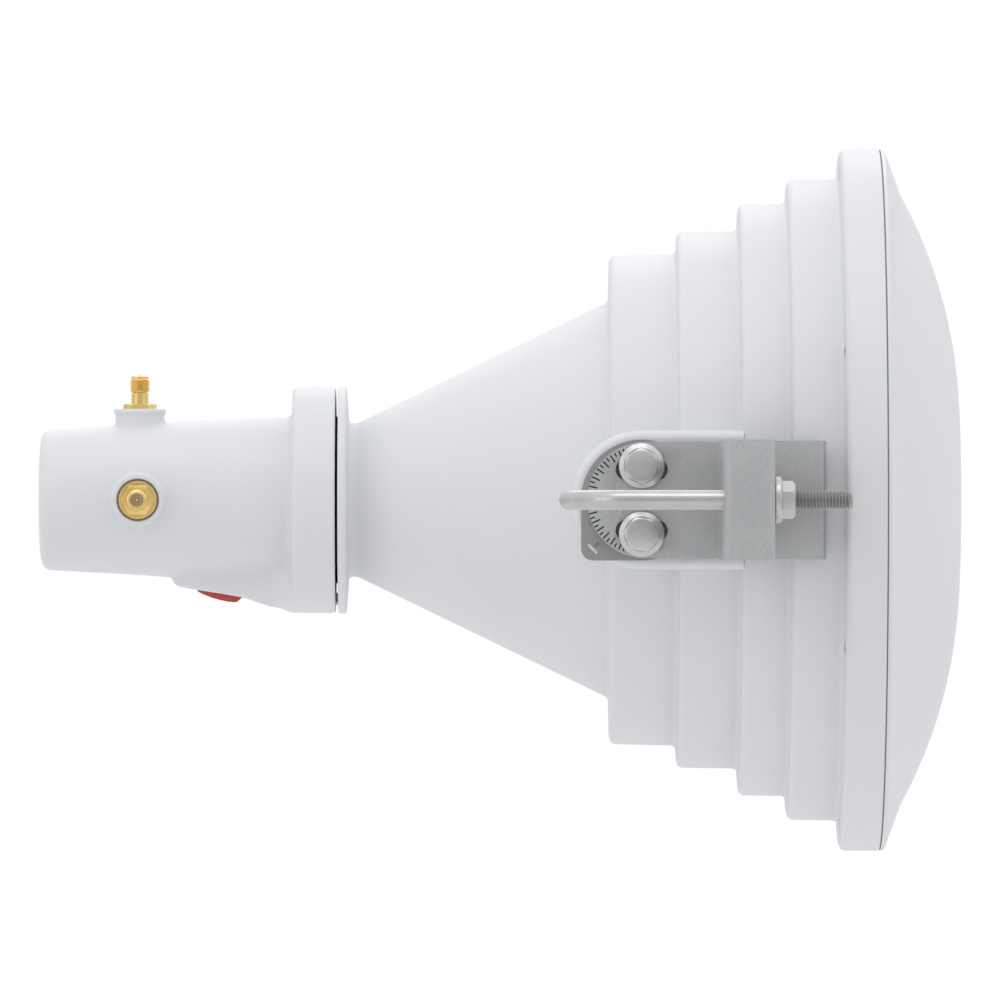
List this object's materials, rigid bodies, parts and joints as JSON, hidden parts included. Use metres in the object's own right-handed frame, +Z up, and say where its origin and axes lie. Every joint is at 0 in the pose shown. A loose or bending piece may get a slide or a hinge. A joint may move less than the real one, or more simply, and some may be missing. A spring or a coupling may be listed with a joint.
{
  "type": "horn antenna",
  "caption": "Ringed conical horn antenna with domed radome, tilting pole bracket with U-bolt, and a twist-on coaxial adaptor at its round port.",
  "frame": {"origin": "on the axis of the vertical pole that the U-bolt clamps, at the height of the U-bolt and of the horn's axis", "axes": "+X along the horn's axis, out of its aperture; -Y towards the outside of the bracket, away from the horn; +Z up along the pole"},
  "size_m": [0.2884, 0.2811, 0.2202],
  "materials": {
    "white_casting": "white powder coat on die-cast aluminium",
    "white_plastic": "white UV-stable plastic, satin",
    "white_housing": "white UV-stable plastic, satin",
    "black_rubber": "matt",
    "grey_plastic": "smooth matt grey",
    "stainless": "stainless, lightly satin",
    "stainless_rod": "stainless, drawn and polished",
    "galvanised": "hot-dip galvanised, fine spangle",
    "bare_casting": "as cast",
    "gold": "gold plated",
    "insulator": "PTFE",
    "red_plastic": "satin red"
  },
  "bodies": {
    "bracket": {"bracket_plate": "galvanised", "clamp_nuts": "stainless"},
    "clamp": {"u_bolt": "stainless_rod"},
    "horn": {"horn_casting": "white_casting", "radome": "white_plastic", "radome_gasket": "black_rubber", "port_seal": "black_rubber", "pointer_plate": "grey_plastic", "tilt_bolts": "stainless"},
    "adaptor": {"adaptor_housing": "white_housing", "waveguide_body": "bare_casting", "bayonet_ring": "stainless", "ring_screws": "stainless", "sma_shell_top": "gold", "sma_shell_front": "gold", "sma_insulator_top": "insulator", "sma_insulator_front": "insulator", "sma_contact_top": "gold", "sma_contact_front": "gold", "sma_seal_top": "black_rubber", "sma_seal_front": "black_rubber", "latch_pin": "stainless", "latch_spring": "stainless"},
    "latch": {"latch_lever": "red_plastic"}
  },
  "joints": [
    {"name": "elevation_tilt", "type": "hinge", "parent": "bracket", "child": "horn", "pos_m": [0, 0.0442, 0], "axis": [0, 1, 0], "range_deg": [-25, 25]},
    {"name": "port_twist", "type": "hinge", "parent": "horn", "child": "adaptor", "pos_m": [-0.0966, 0.138, 0], "axis": [1, 0, 0], "range_deg": [0, 45]},
    {"name": "latch_press", "type": "hinge", "parent": "adaptor", "child": "latch", "pos_m": [-0.14, 0.138, -0.0257], "axis": [0, -1, 0], "range_deg": [0, 4], "stiffness_Nm_per_rad": 0.6, "springref_deg": -5.73, "deforming": ["latch_spring"]},
    {"name": "clamp_slide", "type": "slide", "parent": "bracket", "child": "clamp", "axis": [1, 0, 0], "range_m": [-0.0165, 0.012]}
  ]
}
